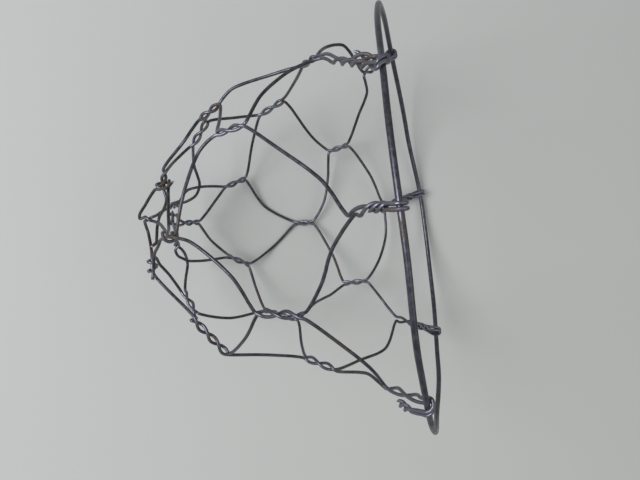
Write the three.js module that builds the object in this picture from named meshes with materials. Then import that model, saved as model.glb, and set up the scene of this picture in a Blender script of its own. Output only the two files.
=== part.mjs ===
// A deep wire basket: a dome of hand-twisted hexagonal netting hung from a heavy round hoop.
// Millimetres, +Z up. The basket lies on its side as it rests on a table, mouth toward +X.
//
// The basket is laid out in the hoop's own frame. A place on it is three numbers:
//   clock   angle round the hoop in degrees, 0 at the +Y end of its level diameter, 90 uppermost
//   height  distance from the plane of the hoop toward the closed end
//   radius  distance from the axis of the hoop
// Six anchors hold two strands each. Seen from the closed end, anchor 1 is at the upper left, and they
// count up with the clock.
import * as THREE from 'three';

const HOOP_RADIUS = 134; // centre of the hoop's wire
const HOOP_WIRE = 3.4; // 10 gauge wire
const NET_WIRE = 2.05; // 14 gauge wire
const CLEAR = 0.4; // air left between wires that touch
const PAIR_RADIUS = 1.3; // from the middle of a two-wire twist to the centre of each wire
const ROPE_RADIUS = 1.95; // the same for the four wires beside an anchor

const HOOK_RADIUS = HOOP_WIRE / 2 + NET_WIRE / 2 + 1.5 * CLEAR; // of the bend over the hoop
const NECK = 7; // from the hoop to where the twist of an anchor starts
const SPUR_NECK = 11; // the same for a spur
const SPUR_LIFT = 3.8; // how far the start of a spur stands off the plane of the hoop
const SPUR_PAIR = 1.8; // from the middle of a pair to each wire where it crosses the hoop askew

const HOOP_SIDES = 12;
const HOOP_STEPS = 120;
const NET_SIDES = 6;
const STEPS_PER_TURN = 8;
const HOOK_STEPS = 5;
const RUN_STEPS = 4; // sweep steps in each open run between two twists

const LEAN = 23.8; // degrees the hoop leans back from upright, mouth up
const ROLL = -0.8; // degrees the basket is turned about its own axis

// How far the wire of the hoop is bent out of its plane, at each half hour of the clock.
const HOOP_BOW = [-1, 0, 1.5, 2, -0.5, -1.5, -2.5, 0.5, 2, 2.5, -1, -2];

// Sides on which a strand enters a twist: from higher or lower clock angles.
const HIGH = 0;
const LOW = 180;

// clock: where the strands hook over the hoop. end: where they part. turns: twists between,
// left-handed where negative.
// reach: how far along the twist its two cut ends are wound with it.
// loop: where the strands part when they make one more open half turn after the end.
// spur: a twist the cut ends make of their own. It leaves the hoop a drift (mm) away from the
// strands, which pass the hoop on the given face.
const anchors = {
  1: {
    clock: 54, end: [31, 28, 113], turns: -2, open: 1.6, face: -1,
    spur: { tip: [42, 14, 125], turns: -1, drift: -7 },
  },
  2: { clock: 84.8, end: [83.9, 13, 126], turns: -0.625, reach: 0.95, loop: [84.6, 23, 114] },
  3: {
    clock: 133, end: [152, 27, 107], turns: 1, open: 1.7, face: 1,
    spur: { tip: [141, 17, 123], turns: -1, drift: 5 },
  },
  4: { clock: 224, end: [224, 27, 111], turns: 1.125, reach: 0.55 },
  5: { clock: 276, end: [274, 27, 112], turns: 1.125, reach: 0.5 },
  6: { clock: 332, end: [334, 23, 118], turns: 1.125, reach: 0.6 },
};

// Twists of the net, from the end nearer the hoop to the end nearer the closed end.
const knots = {
  // first row, between the anchors
  a12: { from: [49, 80, 103], to: [47, 99, 97], turns: 1 },
  a23: { from: [115, 60, 96], to: [115, 89, 88], turns: 1.25, open: 1.9 },
  a34: { from: [174, 63, 93], to: [178, 84, 84], turns: 1, open: 1.8 },
  a45: { from: [241, 47, 101], to: [240, 65, 96], turns: 1 },
  a56: { from: [304, 47, 108], to: [303, 63, 106], turns: 1 },
  a61: { from: [15, 43, 111], to: [14, 53, 107], turns: 1 },
  // second row, below each anchor
  b1: { from: [17, 109, 94], to: [19, 123, 87], turns: 1, open: 1.5 },
  b2: { from: [81, 130, 79], to: [79, 140, 69], turns: 1 },
  b3: { from: [152, 127, 77], to: [132, 141, 63], turns: 1.5, open: 1.8 },
  b4: { from: [218, 99, 86], to: [223, 125, 78], turns: 2 },
  b5: { from: [272, 85, 95], to: [273, 100, 91], turns: 1 },
  b6: { from: [337, 83, 104], to: [335, 103, 97], turns: 1, open: 1.5 },
  // third row
  c12: { from: [29, 151, 62], to: [36, 155, 52], turns: 1, side: [47, 172, 42] },
  c23: { from: [93, 170, 30], to: [106, 170, 33], side: [93, 180, 30] },
  c34: { from: [180, 158, 46], to: [197, 169, 31], turns: 1, open: 1.6 },
  c45: { from: [252, 136, 72], to: [258, 149, 58], turns: 1 },
  c56: { from: [303, 129, 84], to: [306, 143, 69], turns: 1 },
  c61: { from: [355, 131, 86], to: [352, 146, 71], turns: 1, open: 1.7 },
  // fourth row and the closed end
  d4: { from: [249, 171, 32], to: [275, 174, 20], turns: 0.5, open: 2.6 },
  d5: { from: [291, 163, 48], to: [298, 172, 39], turns: 1 },
  d6: { from: [318, 169, 45], to: [339, 169, 34], turns: 1, open: 1.55 },
  e1: { from: [36, 176, 31], to: [36, 171, 30], turns: 0.5, side: [27, 176, 39] },
  e4: { from: [280, 172, 18], to: [333, 168, 15], turns: 1 },
  e5: { from: [342, 167, 19], to: [340, 168, 30], side: [342, 177, 19] },
};

function at(clock, height, radius) {
  const angle = THREE.MathUtils.degToRad(clock);
  return new THREE.Vector3(-height, radius * Math.cos(angle), radius * Math.sin(angle));
}

function hoopPoint(clock) {
  const hours = HOOP_BOW.length;
  const hour = (((clock / 360) % 1) + 1) % 1 * hours;
  const near = Math.floor(hour);
  const blend = (1 - Math.cos(Math.PI * (hour - near))) / 2;
  const bow = HOOP_BOW[near % hours] * (1 - blend) + HOOP_BOW[(near + 1) % hours] * blend;
  return at(clock, -bow, HOOP_RADIUS);
}

// Points of one wire of a twist. The phase is its place round the axis where the twist starts.
function helix(from, to, side, phase, turns, radius, begin = 0, finish = 1) {
  const axis = new THREE.Vector3().subVectors(to, from).normalize();
  const across = side.clone().addScaledVector(axis, -side.dot(axis)).normalize();
  const out = new THREE.Vector3().crossVectors(axis, across);
  const steps = Math.max(2, Math.round(Math.abs(turns * (finish - begin)) * STEPS_PER_TURN));
  const points = [];
  for (let i = 0; i <= steps; i++) {
    const along = begin + ((finish - begin) * i) / steps;
    const angle = THREE.MathUtils.degToRad(phase + 360 * turns * along);
    const point = new THREE.Vector3().lerpVectors(from, to, along);
    point.addScaledVector(across, radius * Math.cos(angle));
    point.addScaledVector(out, radius * Math.sin(angle));
    points.push(point);
  }
  return points;
}

// The two ends of a knot and the direction of its high side, where the clock angle rises
// unless the knot names a place on that side.
function axisOf(knot) {
  const from = at(...knot.from);
  const to = at(...knot.to);
  if (knot.side) return { from, to, side: at(...knot.side).sub(from) };
  const outward = new THREE.Vector3().addVectors(from, to).setX(0);
  const side = new THREE.Vector3().crossVectors(outward, new THREE.Vector3().subVectors(to, from));
  return { from, to, side: side.normalize() };
}

// A strand's way through a knot. Phase is HIGH, LOW or an angle between them.
function through(name, phase, { begin = 0, finish = 1, radius } = {}) {
  const knot = knots[name];
  const { from, to, side } = axisOf(knot);
  const ring = radius ?? knot.open ?? PAIR_RADIUS;
  return helix(from, to, side, phase, knot.turns, ring, begin, finish);
}

// The end of a strand wound round the wires of a knot.
function coiled(name, phase, turns, begin, finish, radius) {
  const { from, to, side } = axisOf(knots[name]);
  const first = new THREE.Vector3().lerpVectors(from, to, begin);
  const last = new THREE.Vector3().lerpVectors(from, to, finish);
  return helix(first, last, side, phase, turns, radius);
}

// A place a strand passes between knots.
function past(clock, height, radius) {
  return [at(clock, height, radius)];
}

// From the cut tip of a strand, over the hoop and along the twist, to where the strands part.
function anchored(number, rising) {
  const { clock, end, turns, reach, loop, open, face = -1, spur } = anchors[number];
  const drift = spur ? spur.drift : 0;
  const hoop = hoopPoint(clock);
  const parting = at(...end);
  const along = new THREE.Vector3().subVectors(hoopPoint(clock + 1), hoopPoint(clock - 1)).normalize();
  const way = new THREE.Vector3().subVectors(parting, hoop).normalize();
  const inward = way.clone().addScaledVector(along, -way.dot(along)).normalize();
  const over = new THREE.Vector3().crossVectors(along, inward);
  const start = hoop.clone().addScaledVector(way, NECK);

  const apart = spur ? SPUR_PAIR : PAIR_RADIUS;
  const offset = rising ? apart : -apart;
  const side = spur || !rising ? face : -face;
  const hook = [];
  for (let i = 0; i <= HOOK_STEPS; i++) {
    const angle = (Math.PI * i) / HOOK_STEPS;
    const point = hoop.clone().addScaledVector(inward, -HOOK_RADIUS * Math.sin(angle));
    point.addScaledVector(over, -side * HOOK_RADIUS * Math.cos(angle));
    point.addScaledVector(along, offset + drift * (1 - i / HOOK_STEPS));
    hook.push(point);
  }

  if (!spur) {
    const main = rising ? 45 : 225;
    const bundle = helix(start, parting, over, main, turns, ROPE_RADIUS);
    const tail = helix(start, parting, over, main + 90, turns, ROPE_RADIUS, reach, 0);
    if (!loop) return [...tail, ...hook, ...bundle];
    const last = helix(parting, at(...loop), over, main + 360 * turns, -0.5, ROPE_RADIUS);
    return [...tail, ...hook, ...bundle, ...last.slice(1)];
  }
  const phase = rising ? 90 : 270;
  const mainStart = start.clone().addScaledVector(over, side * PAIR_RADIUS);
  const bundle = helix(mainStart, parting, over, phase, turns, open);
  const heel = hoop.clone().addScaledVector(along, drift);
  const tip = at(...spur.tip);
  const spurWay = new THREE.Vector3().subVectors(tip, heel).normalize();
  const spurStart = heel.addScaledVector(spurWay, SPUR_NECK).addScaledVector(over, -side * SPUR_LIFT);
  const spurPhase = rising ? 60 : 240;
  const tail = helix(spurStart, tip, over, spurPhase, spur.turns, PAIR_RADIUS, 1, 0);
  return [...tail, ...hook, ...bundle];
}

// Adds steps to the open runs of a route, so the sweep bends smoothly there.
function sweepPoints(route) {
  const rough = new THREE.CatmullRomCurve3(route, false, 'centripetal');
  const points = [];
  for (let i = 0; i < route.length - 1; i++) {
    const gap = route[i].distanceTo(route[i + 1]);
    const pieces = Math.max(1, Math.min(RUN_STEPS, Math.round(gap / 8)));
    for (let j = 0; j < pieces; j++) {
      points.push(rough.getPoint((i + j / pieces) / (route.length - 1)));
    }
  }
  points.push(route[route.length - 1].clone());
  return points;
}

// A many-sided section with a flat on each axis, as wide as the wire on average.
function roundSection(diameter, sides) {
  const radius = diameter / 2 / Math.cos(Math.PI / sides / 2);
  const corners = [];
  for (let i = 0; i < sides; i++) {
    const angle = (2 * Math.PI * (i + 0.5)) / sides;
    corners.push(new THREE.Vector2(radius * Math.cos(angle), radius * Math.sin(angle)));
  }
  return new THREE.Shape(corners);
}

// Sweeps a wire so that it has one section at each of the given points.
function wire(points, diameter, sides, closed = false) {
  const path = new THREE.CatmullRomCurve3(points, closed, 'centripetal');
  path.getUtoTmapping = (u) => u;
  const steps = closed ? points.length : points.length - 1;
  return new THREE.ExtrudeGeometry(roundSection(diameter, sides), { steps, extrudePath: path });
}

function part(name, geometry, color) {
  const material = new THREE.MeshStandardMaterial({ color, roughness: 0.5, metalness: 0.75 });
  const mesh = new THREE.Mesh(geometry, material);
  mesh.name = name;
  return mesh;
}

const strands = {
  '1a': [
    anchored(1, false), past(25, 33, 114),
    through('a61', HIGH), past(14, 75, 105), past(16, 100, 101),
    through('b1', LOW), past(7, 127, 86),
    through('c61', HIGH), past(7, 152, 62),
    through('c12', LOW), past(41, 153, 47), past(39, 159, 38), past(32, 167, 29),
    past(40, 169, 25), past(62, 168, 25), past(74, 166, 30), past(79, 168, 33),
  ],
  '1b': [
    anchored(1, true), past(22, 38, 111), past(22, 47, 110),
    past(24, 57, 108), past(29, 65, 106), past(36, 73, 104),
    through('a12', LOW), past(30, 104, 91),
    through('b1', HIGH), past(29, 132, 79),
    through('c12', HIGH), past(33, 161, 51), past(35, 171, 42), past(34, 179, 34), past(34, 180, 31),
    through('e1', HIGH), past(52, 163, 34), past(65, 155, 44), past(75, 146, 58),
    coiled('b2', 270, 0.65, 0.8, 0.55, 3.9),
  ],
  '2a': [
    anchored(2, false), past(74, 37, 107), past(61, 60, 104),
    through('a12', HIGH), past(50, 111, 91), past(66, 122, 85),
    through('b2', LOW), past(75, 142, 62), past(63, 145, 56), past(51, 147, 54), past(43, 148, 55),
    coiled('c12', 180, -0.8, 0.5, 0.95, 3.9), past(42, 148, 57), past(43, 142, 62),
  ],
  '2b': [
    anchored(2, true), past(93, 37, 104), past(103, 46, 100),
    through('a23', 225), past(130, 103, 83),
    through('b3', LOW), past(156, 150, 50),
    through('c34', LOW), past(150, 170, 17), past(108, 170, 21),
    coiled('c23', 120, -1.6, -0.1, 1.2, 2.7),
  ],
  '3a': [
    anchored(3, false), past(137, 32, 104), past(129, 44, 98),
    through('a23', 45), past(100, 97, 89), past(89, 112, 86), past(84, 122, 83),
    through('b2', HIGH), past(80, 148, 61), past(83, 153, 55), past(87, 160, 46),
    past(92, 163, 42), past(101, 166, 39), past(111, 168, 41),
  ],
  '3b': [
    anchored(3, true), past(158, 38, 97), past(165, 52, 94),
    through('a34', LOW), past(168, 106, 78),
    through('b3', HIGH), past(119, 162, 41), past(111, 168, 36),
    past(106, 170, 33), past(93, 170, 30), past(82, 171, 27), past(47, 176, 23),
    through('e1', LOW), past(24, 170, 29), past(10, 169, 29), past(344, 169, 32),
    through('d6', 240, { begin: 1, finish: 0 }),
  ],
  '4a': [
    anchored(4, false), past(204, 35, 103), past(193, 51, 98),
    through('a34', HIGH), past(196, 92, 84),
    through('b4', LOW), past(208, 144, 64),
    through('c34', HIGH), past(223, 170, 29),
    through('d4', 270),
    through('e4', LOW),
  ],
  '4b': [
    anchored(4, true), past(232, 37, 103),
    through('a45', LOW), past(233, 75, 90), past(228, 87, 87),
    through('b4', HIGH), past(238, 132, 74),
    through('c45', LOW), past(254, 161, 45),
    through('d4', 90),
    through('e4', HIGH), past(342, 167, 19), past(340, 168, 30),
  ],
  '5a': [
    anchored(5, false), past(262, 29, 110), past(250, 37, 104),
    through('a45', HIGH), past(254, 72, 95),
    through('b5', LOW), past(263, 117, 85),
    through('c45', HIGH), past(273, 158, 50),
    through('d5', LOW), past(315, 169, 25),
    coiled('e5', 225, 0.75, 0.1, 0.3, 2.6),
  ],
  '5b': [
    anchored(5, true), past(288, 34, 109),
    through('a56', LOW), past(293, 67, 103), past(281, 74, 98),
    through('b5', HIGH), past(285, 120, 85),
    through('c56', LOW), past(300, 152, 58),
    through('d5', HIGH), past(310, 171, 34),
    coiled('e5', 200, 0.5, 0.7, 0.9, 2.6),
  ],
  '6a': [
    anchored(6, false), past(325, 24, 116), past(317, 33, 112),
    through('a56', HIGH), past(312, 72, 104),
    through('b6', LOW), past(320, 116, 92),
    through('c56', HIGH), past(318, 152, 58), past(321, 164, 54),
    through('d6', 120),
  ],
  '6b': [
    anchored(6, true), past(348, 26, 116), past(355, 30, 120), past(3, 39, 117),
    through('a61', LOW), past(356, 66, 101),
    through('b6', HIGH), past(344, 117, 91),
    through('c61', LOW), past(346, 148, 59), past(334, 149, 50), past(323, 156, 46),
    through('d6', HIGH),
  ],
};

const basket = new THREE.Group();
basket.name = 'basket';

const hoopPoints = [];
for (let i = 0; i < HOOP_STEPS; i++) {
  hoopPoints.push(hoopPoint((360 * i) / HOOP_STEPS));
}
basket.add(part('hoop', wire(hoopPoints, HOOP_WIRE, HOOP_SIDES, true), 0x4a4a52));
for (const [name, route] of Object.entries(strands)) {
  const geometry = wire(sweepPoints(route.flat()), NET_WIRE, NET_SIDES);
  basket.add(part(`net_strand_${name}`, geometry, 0x55555c));
}

basket.rotation.order = 'YXZ';
basket.rotation.y = THREE.MathUtils.degToRad(-LEAN);
basket.rotation.x = THREE.MathUtils.degToRad(ROLL);
basket.updateMatrixWorld(true);
const box = new THREE.Box3().setFromObject(basket, true);
const middle = box.getCenter(new THREE.Vector3());
basket.position.set(-middle.x, -middle.y, -box.min.z);

const root = new THREE.Group();
root.name = 'wire_net_basket';
root.add(basket);
export default root;
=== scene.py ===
# A wire net basket lying on its side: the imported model's wires, drawn fine, with worn metal on them.
import math

import bmesh
import bpy
import numpy as np
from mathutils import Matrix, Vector


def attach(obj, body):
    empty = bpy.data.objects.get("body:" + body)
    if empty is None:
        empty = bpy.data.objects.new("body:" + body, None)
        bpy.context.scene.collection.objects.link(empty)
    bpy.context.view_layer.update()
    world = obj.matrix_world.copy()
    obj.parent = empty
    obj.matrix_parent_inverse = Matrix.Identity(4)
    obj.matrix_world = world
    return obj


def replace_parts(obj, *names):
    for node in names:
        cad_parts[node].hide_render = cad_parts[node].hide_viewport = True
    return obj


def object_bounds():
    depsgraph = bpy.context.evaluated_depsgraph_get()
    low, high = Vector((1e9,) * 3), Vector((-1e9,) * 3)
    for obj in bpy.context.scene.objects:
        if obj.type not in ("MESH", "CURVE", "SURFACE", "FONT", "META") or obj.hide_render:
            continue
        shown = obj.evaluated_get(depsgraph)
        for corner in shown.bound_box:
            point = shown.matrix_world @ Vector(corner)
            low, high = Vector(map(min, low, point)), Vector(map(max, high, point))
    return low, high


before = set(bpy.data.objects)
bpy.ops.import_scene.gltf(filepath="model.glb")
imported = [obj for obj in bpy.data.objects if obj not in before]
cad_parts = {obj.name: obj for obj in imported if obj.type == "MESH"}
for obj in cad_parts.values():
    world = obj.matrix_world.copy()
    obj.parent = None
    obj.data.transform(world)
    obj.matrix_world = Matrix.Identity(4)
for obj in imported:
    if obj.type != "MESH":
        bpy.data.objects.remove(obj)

CAD_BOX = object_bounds()

# Wires, in metres
HOOP_WIRE = 0.0034
NET_WIRE = 0.00205
HOOP_SECTIONS = 120  # sections round the CAD hoop
NET_SIDES = 6  # sides of the CAD strands

# How finely the wires are drawn
HOOP_ROUND = 24
NET_ROUND = 14
RING_GAP = 0.0006  # between rings along a strand
HOOP_RING_GAP = 0.0014
SWELL_WAVES = (0.0031, 0.0057, 0.0103, 0.019, 0.037, 0.071)  # lengths of the wires' unevenness
HOOP_SWELL = 0.006  # of the wire's radius, for each of those waves
NET_SWELL = 0.01

# Cut ends
NIP_LENGTH = 0.0014  # length of the bevel that the cutters leave
NIP_THICKNESS = 0.22  # of the wire's own, at the very tip
NIP_FLARE = 0.12  # how much wider the squeezed tip is

# Where wires rub: from centre to centre, fully worn and just untouched
RUB_FULL = 0.003
RUB_NONE = 0.0045
RUB_RINGS = 9  # rings over which the wear fades along a wire
RUB_BLOCK = 200  # points compared at a time
RUB_STRIDE = 3  # only every third point of the other wires is compared

# Metal, as linear colours
ZINC = (0.10, 0.10, 0.125)
HOOP_DULL = (0.05, 0.05, 0.062)
HOOP_RUST = (0.06, 0.042, 0.028)
NET_DULL = (0.045, 0.045, 0.052)
NET_RUST = (0.06, 0.04, 0.025)
CUT_STEEL = (0.32, 0.31, 0.31)
PALER = 1.9  # how much paler than the zinc its rubbed places are

# The floor, as linear colours
FLOOR_HALF = 40.0  # half its width, so wide that its edge is as good as the horizon
FLOOR_LOW = (0.44, 0.44, 0.425)
FLOOR_HIGH = (0.46, 0.46, 0.44)

# Each light's name, place, width, watts and colour
LIGHTS = (
    ("window", (-1.4, 0.3, 1.35), 1.0, 38.0, (0.94, 0.97, 1.0)),
    ("fill", (0.8, -0.6, 1.4), 1.4, 5.5, (1.0, 0.96, 0.9)),
)
ROOM_COLOUR = (0.93, 0.96, 1.0)
ROOM_STRENGTH = 0.4

# Camera, metres and degrees
CAMERA_PLACE = (-0.0974, 0.0258, 0.5274)
CAMERA_TURN = (-2.257, -13.163, -8.794)
CAMERA_SHIFT = (-0.0008, 0.0010)
CAMERA_LENS = 36.84
SENSOR = 36.0

rng = np.random.default_rng(11)


# ---------------------------------------------------------------- wires from the frame

def merged_mesh(node):
    """The CAD node's mesh with its shared corners joined, as a bmesh."""
    mesh = bmesh.new()
    mesh.from_mesh(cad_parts[node].data)
    bmesh.ops.remove_doubles(mesh, verts=mesh.verts, dist=1e-6)
    mesh.normal_update()
    return mesh


def levels_from(start):
    """Vertices grouped by how many edges lie between them and the starting ones."""
    levels = [list(start)]
    seen = set(start)
    while levels[-1]:
        level = []
        for vert in levels[-1]:
            for edge in vert.link_edges:
                other = edge.other_vert(vert)
                if other not in seen:
                    seen.add(other)
                    level.append(other)
        levels.append(level)
    return levels[:-1]


def flat_ring(face):
    """The corners of a face and of every face joined to it in the same plane."""
    ring = set(face.verts)
    front = [face]
    while front:
        for edge in front.pop().edges:
            for other in edge.link_faces:
                if other.normal.dot(face.normal) > 0.9999 and not ring.issuperset(other.verts):
                    ring.update(other.verts)
                    front.append(other)
    return ring


def strand_line(node):
    """Middle points of the sections of a strand's CAD solid, from one cut end to the other."""
    mesh = merged_mesh(node)
    mesh.verts.ensure_lookup_table()
    tip = levels_from([mesh.verts[0]])[-1][0]
    for face in tip.link_faces:
        levels = levels_from(flat_ring(face))
        if all(len(level) == NET_SIDES for level in levels):
            line = np.array([np.mean([vert.co for vert in level], axis=0) for level in levels])
            mesh.free()
            return line
    raise ValueError(f"{node} isn't a wire of {NET_SIDES}-sided sections")


def hoop_line(node):
    """Middle points of the sections of the hoop's CAD solid, once round."""
    mesh = merged_mesh(node)
    corners = np.array([vert.co for vert in mesh.verts])
    mesh.free()
    centre = (corners.min(0) + corners.max(0)) / 2
    across, along, _ = np.linalg.svd(corners - corners.mean(0), full_matrices=False)[2]
    turn = np.arctan2((corners - centre) @ along, (corners - centre) @ across)
    section = np.round(turn / (2 * math.pi) * HOOP_SECTIONS).astype(int) % HOOP_SECTIONS
    return np.array([corners[section == i].mean(0) for i in range(HOOP_SECTIONS)])


# ---------------------------------------------------------------- fine wires

def smooth_line(line, gap, closed):
    """Points a gap apart on a centripetal Catmull-Rom curve through a line's points."""
    count = len(line)
    if closed:
        line = np.vstack([line[-1:], line, line[:2]])
        spans = count
    else:
        line = np.vstack([2 * line[0] - line[1], line, 2 * line[-1] - line[-2]])
        spans = count - 1
    points = []
    for i in range(spans):
        a, b, c, d = line[i:i + 4]
        t0 = 0.0
        t1 = t0 + np.linalg.norm(b - a) ** 0.5
        t2 = t1 + np.linalg.norm(c - b) ** 0.5
        t3 = t2 + np.linalg.norm(d - c) ** 0.5
        steps = max(1, round(np.linalg.norm(c - b) / gap))
        for t in np.linspace(t1, t2, steps, endpoint=False):
            a1 = (t1 - t) / (t1 - t0) * a + (t - t0) / (t1 - t0) * b
            a2 = (t2 - t) / (t2 - t1) * b + (t - t1) / (t2 - t1) * c
            a3 = (t3 - t) / (t3 - t2) * c + (t - t2) / (t3 - t2) * d
            b1 = (t2 - t) / (t2 - t0) * a1 + (t - t0) / (t2 - t0) * a2
            b2 = (t3 - t) / (t3 - t1) * a2 + (t - t1) / (t3 - t1) * a3
            points.append((t2 - t) / (t2 - t1) * b1 + (t - t1) / (t2 - t1) * b2)
    if not closed:
        points.append(line[-2])
    return np.array(points)


def section_frames(line, closed):
    """Tangents along a line, and across directions that turn as little as they can."""
    if closed:
        tangents = np.roll(line, -1, 0) - np.roll(line, 1, 0)
    else:
        tangents = np.gradient(line, axis=0)
    tangents /= np.linalg.norm(tangents, axis=1)[:, None]
    across = np.zeros_like(line)
    guide = np.eye(3)[np.argmin(np.abs(tangents[0]))]
    for i, tangent in enumerate(tangents):
        guide = guide - tangent * guide.dot(tangent)
        guide /= np.linalg.norm(guide)
        across[i] = guide
    other = np.cross(tangents, across)
    if closed:  # spread the leftover turn evenly, so that the last section meets the first
        left = across[-1] - tangents[0] * across[-1].dot(tangents[0])
        turn = math.atan2(left.dot(other[0]), left.dot(across[0]))
        angle = -turn * np.arange(len(line)) / len(line)
        cos, sin = np.cos(angle)[:, None], np.sin(angle)[:, None]
        across, other = across * cos + other * sin, other * cos - across * sin
    return tangents, across, other


def wire_mesh(name, line, diameter, rounds, closed, uneven):
    """A round wire along a line, its radius uneven by a share. Its cut ends are nipped to a chisel edge."""
    tangents, across, other = section_frames(line, closed)
    count = len(line)
    steps = np.linalg.norm(np.diff(line, axis=0), axis=1)
    along = np.concatenate([[0], np.cumsum(steps)])
    angle = 2 * math.pi * np.arange(rounds) / rounds
    cos, sin = np.cos(angle), np.sin(angle)
    radius = np.full((count, rounds), diameter / 2)
    phase = rng.uniform(0, 2 * math.pi, len(SWELL_WAVES))
    for k, wave in enumerate(SWELL_WAVES):
        swell = uneven * np.sin(2 * math.pi * along / wave + phase[k])
        radius += diameter / 2 * swell[:, None] * np.cos(angle * (k % 3) + phase[k])
    flat_a = np.ones(count)
    flat_b = np.ones(count)
    if not closed:
        for end in (along, along[-1] - along):
            near = np.clip(1 - end / NIP_LENGTH, 0, 1)
            flat_a *= 1 - (1 - NIP_THICKNESS) * near
            flat_b *= 1 + NIP_FLARE * near
    verts = (
        line[:, None]
        + across[:, None] * (radius * cos * flat_a[:, None])[..., None]
        + other[:, None] * (radius * sin * flat_b[:, None])[..., None]
    ).reshape(-1, 3)
    rings = count if closed else count - 1
    faces = []
    for i in range(rings):
        j = (i + 1) % count
        for k in range(rounds):
            n = (k + 1) % rounds
            faces.append((i * rounds + k, i * rounds + n, j * rounds + n, j * rounds + k))
    if not closed:
        faces.append(tuple(reversed(range(rounds))))
        faces.append(tuple(range((count - 1) * rounds, count * rounds)))
    mesh = bpy.data.meshes.new(name)
    mesh.from_pydata(verts.tolist(), [], faces)
    mesh.shade_smooth()

    start = rng.uniform(0, 10)
    grain = np.empty((count, rounds, 3))
    grain[..., 0] = cos
    grain[..., 1] = sin
    grain[..., 2] = (start + along / diameter)[:, None]
    attribute = mesh.attributes.new("grain", "FLOAT_VECTOR", "POINT")
    attribute.data.foreach_set("vector", grain.reshape(-1).astype(np.float32))
    cut = np.zeros((count, rounds))
    if not closed:
        for end in (along, along[-1] - along):
            cut += np.clip(1 - end / NIP_LENGTH, 0, 1)[:, None]
    worked = mesh.attributes.new("cut", "FLOAT", "POINT")
    worked.data.foreach_set("value", cut.reshape(-1).astype(np.float32))
    return mesh


def twisted(line, lines):
    """How much each point of a line lies against another wire, from 0 to 1."""
    nearest = np.full(len(line), 1.0)
    for other in lines:
        for i in range(0, len(line), RUB_BLOCK):
            block = slice(i, i + RUB_BLOCK)
            gaps = np.linalg.norm(line[block, None] - other[None, ::RUB_STRIDE], axis=2)
            nearest[block] = np.minimum(nearest[block], gaps.min(1))
    return np.clip((RUB_NONE - nearest) / (RUB_NONE - RUB_FULL), 0, 1)


def set_worn(mesh, worn, rounds):
    """Stores how much of the wire is rubbed by its neighbours, softened along it."""
    kernel = np.hanning(RUB_RINGS)
    kernel /= kernel.sum()
    soft = np.convolve(np.pad(worn, RUB_RINGS // 2, mode="edge"), kernel, mode="valid")
    attribute = mesh.attributes.new("worn", "FLOAT", "POINT")
    attribute.data.foreach_set("value", np.repeat(soft, rounds).astype(np.float32))


# ---------------------------------------------------------------- materials

class Nodes:
    """Short calls for building a shader's nodes."""

    def __init__(self, material):
        material.use_nodes = True
        self.tree = material.node_tree
        self.tree.nodes.clear()

    def add(self, kind, **settings):
        node = self.tree.nodes.new(kind)
        for key, value in settings.items():
            setattr(node, key, value)
        return node

    def link(self, a, b):
        self.tree.links.new(a, b)

    def attribute(self, name, output):
        return self.add("ShaderNodeAttribute", attribute_name=name).outputs[output]

    def noise(self, vector, scale, detail=3.0, roughness=0.55):
        node = self.add("ShaderNodeTexNoise")
        node.inputs["Scale"].default_value = scale
        node.inputs["Detail"].default_value = detail
        node.inputs["Roughness"].default_value = roughness
        self.link(vector, node.inputs["Vector"])
        return node.outputs["Fac"]

    def ramp(self, value, low, high, start=0.0, end=1.0):
        node = self.add("ShaderNodeMapRange", interpolation_type="SMOOTHSTEP")
        self.link(value, node.inputs["Value"])
        node.inputs["From Min"].default_value = low
        node.inputs["From Max"].default_value = high
        node.inputs["To Min"].default_value = start
        node.inputs["To Max"].default_value = end
        return node.outputs["Result"]

    def maths(self, operation, a, b):
        node = self.add("ShaderNodeMath", operation=operation, use_clamp=True)
        for socket, value in zip(node.inputs, (a, b)):
            if isinstance(value, (int, float)):
                socket.default_value = value
            else:
                self.link(value, socket)
        return node.outputs[0]

    def mix(self, factor, a, b):
        node = self.add("ShaderNodeMix", data_type="RGBA")
        self.link(factor, node.inputs["Factor"])
        for socket, value in ((node.inputs[6], a), (node.inputs[7], b)):
            if isinstance(value, tuple):
                socket.default_value = (*value, 1)
            else:
                self.link(value, socket)
        return node.outputs[2]

    def stretched(self, vector, scale):
        node = self.add("ShaderNodeMapping", vector_type="POINT")
        node.inputs["Scale"].default_value = scale
        self.link(vector, node.inputs["Vector"])
        return node.outputs["Vector"]


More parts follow.
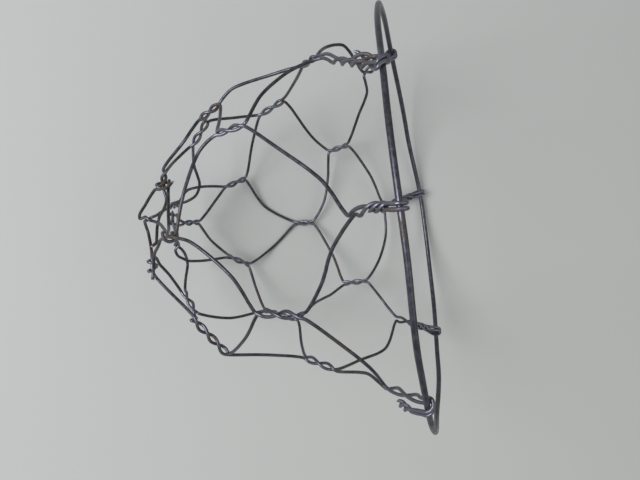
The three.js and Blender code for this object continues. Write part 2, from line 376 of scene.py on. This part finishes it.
def wire_metal(name, dull, rust, rust_low, rust_high):
    """Old galvanized wire: dull zinc, darker weathered skin, brown specks, paler where it is rubbed.

    Rust shows where the patches' noise is above rust_low, and is full above rust_high.
    """
    material = bpy.data.materials.new(name)
    n = Nodes(material)
    place = n.add("ShaderNodeTexCoord").outputs["Object"]
    grain = n.attribute("grain", "Vector")
    worn = n.attribute("worn", "Fac")
    cut = n.attribute("cut", "Fac")

    streaks = n.noise(n.stretched(grain, (2.2, 2.2, 0.35)), 1.0, 4.0)
    mottle = n.noise(place, 260.0, 4.0, 0.6)
    patches = n.noise(place, 34.0, 3.0)
    specks = n.noise(place, 900.0, 2.0)

    weathered = n.maths("MULTIPLY", n.ramp(mottle, 0.38, 0.62), n.ramp(streaks, 0.3, 0.7, 0.35, 1.0))
    skin = n.mix(weathered, dull, ZINC)
    pale = tuple(min(1.0, PALER * c) for c in ZINC)
    rubbed = n.maths("MULTIPLY", worn, n.ramp(streaks, 0.35, 0.65, 0.35, 0.85))
    skin = n.mix(rubbed, skin, pale)
    rusty = n.maths("MULTIPLY", n.ramp(patches, rust_low, rust_high), n.ramp(mottle, 0.4, 0.56))
    speckled = n.maths("MULTIPLY", n.ramp(specks, 0.6, 0.72), n.ramp(patches, 0.4, 0.6, 0.1, 0.8))
    rusty = n.maths("MAXIMUM", rusty, speckled)
    skin = n.mix(rusty, skin, rust)
    skin = n.mix(n.ramp(cut, 0.35, 0.8), skin, CUT_STEEL)

    shader = n.add("ShaderNodeBsdfPrincipled")
    n.link(skin, shader.inputs["Base Color"])
    n.link(n.ramp(rusty, 0.1, 0.9, 0.78, 0.3), shader.inputs["Metallic"])
    rough = n.maths("ADD", n.ramp(mottle, 0.35, 0.65, 0.3, 0.42), n.ramp(rusty, 0.1, 0.8, 0.0, 0.3))
    n.link(rough, shader.inputs["Roughness"])

    relief = n.maths("MULTIPLY", n.ramp(specks, 0.35, 0.65), 0.5)
    relief = n.maths("ADD", relief, n.maths("MULTIPLY", streaks, 0.5))
    bump = n.add("ShaderNodeBump")
    bump.inputs["Strength"].default_value = 0.35
    bump.inputs["Distance"].default_value = 0.00012
    n.link(relief, bump.inputs["Height"])
    n.link(bump.outputs["Normal"], shader.inputs["Normal"])
    output = n.add("ShaderNodeOutputMaterial")
    n.link(shader.outputs["BSDF"], output.inputs["Surface"])
    return material


def floor_paint():
    """A plain pale matt floor with the faintest unevenness."""
    material = bpy.data.materials.new("pale_floor")
    n = Nodes(material)
    place = n.add("ShaderNodeTexCoord").outputs["Object"]
    cloud = n.noise(place, 2.5, 3.0)
    shader = n.add("ShaderNodeBsdfPrincipled")
    n.link(n.mix(cloud, FLOOR_LOW, FLOOR_HIGH), shader.inputs["Base Color"])
    shader.inputs["Roughness"].default_value = 0.75
    shader.inputs["Specular IOR Level"].default_value = 0.25
    output = n.add("ShaderNodeOutputMaterial")
    n.link(shader.outputs["BSDF"], output.inputs["Surface"])
    return material


# ---------------------------------------------------------------- the basket

def place_wire(name, mesh, material):
    piece = bpy.data.objects.new(name, mesh)
    bpy.context.scene.collection.objects.link(piece)
    mesh.materials.append(material)
    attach(piece, "root")
    return piece


def build_basket():
    hoop_metal = wire_metal("hoop_metal", HOOP_DULL, HOOP_RUST, 0.56, 0.7)
    net_metal = wire_metal("net_metal", NET_DULL, NET_RUST, 0.52, 0.66)
    hoop = smooth_line(hoop_line("hoop"), HOOP_RING_GAP, True)
    strands = {
        node: smooth_line(strand_line(node), RING_GAP, False)
        for node in sorted(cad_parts) if node != "hoop"
    }
    mesh = wire_mesh("hoop_wire", hoop, HOOP_WIRE, HOOP_ROUND, True, HOOP_SWELL)
    set_worn(mesh, twisted(hoop, list(strands.values())), HOOP_ROUND)
    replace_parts(place_wire("hoop_wire", mesh, hoop_metal), "hoop")
    for node, line in strands.items():
        name = node.replace("net_strand", "strand_wire")
        mesh = wire_mesh(name, line, NET_WIRE, NET_ROUND, False, NET_SWELL)
        others = [other for key, other in strands.items() if key != node] + [hoop]
        set_worn(mesh, twisted(line, others), NET_ROUND)
        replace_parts(place_wire(name, mesh, net_metal), node)


# ---------------------------------------------------------------- the studio

def add_floor():
    mesh = bpy.data.meshes.new("floor")
    half = FLOOR_HALF
    corners = [(-half, -half, 0), (half, -half, 0), (half, half, 0), (-half, half, 0)]
    mesh.from_pydata(corners, [], [(0, 1, 2, 3)])
    mesh.materials.append(floor_paint())
    floor = bpy.data.objects.new("floor", mesh)
    bpy.context.scene.collection.objects.link(floor)


def add_light(name, place, size, power, colour):
    """A soft square light that faces the middle of the basket."""
    light = bpy.data.lights.new(name, "AREA")
    light.shape = "SQUARE"
    light.size = size
    light.energy = power
    light.color = colour
    lamp = bpy.data.objects.new(name, light)
    lamp.location = place
    middle = (CAD_BOX[0] + CAD_BOX[1]) / 2
    lamp.rotation_euler = (middle - Vector(place)).to_track_quat("-Z", "Y").to_euler()
    bpy.context.scene.collection.objects.link(lamp)


def add_world(colour, strength):
    world = bpy.data.worlds.new("room")
    world.use_nodes = True
    background = world.node_tree.nodes["Background"]
    background.inputs["Color"].default_value = (*colour, 1)
    background.inputs["Strength"].default_value = strength
    bpy.context.scene.world = world


def add_camera():
    camera = bpy.data.cameras.new("camera")
    camera.sensor_width = SENSOR
    camera.lens = CAMERA_LENS
    camera.shift_x, camera.shift_y = CAMERA_SHIFT
    camera.clip_start = 0.01
    holder = bpy.data.objects.new("camera", camera)
    holder.location = CAMERA_PLACE
    holder.rotation_euler = [math.radians(angle) for angle in CAMERA_TURN]
    bpy.context.scene.collection.objects.link(holder)
    bpy.context.scene.camera = holder


add_camera()
build_basket()
add_floor()
for light_settings in LIGHTS:
    add_light(*light_settings)
add_world(ROOM_COLOUR, ROOM_STRENGTH)
bpy.context.scene.view_settings.view_transform = "Standard"
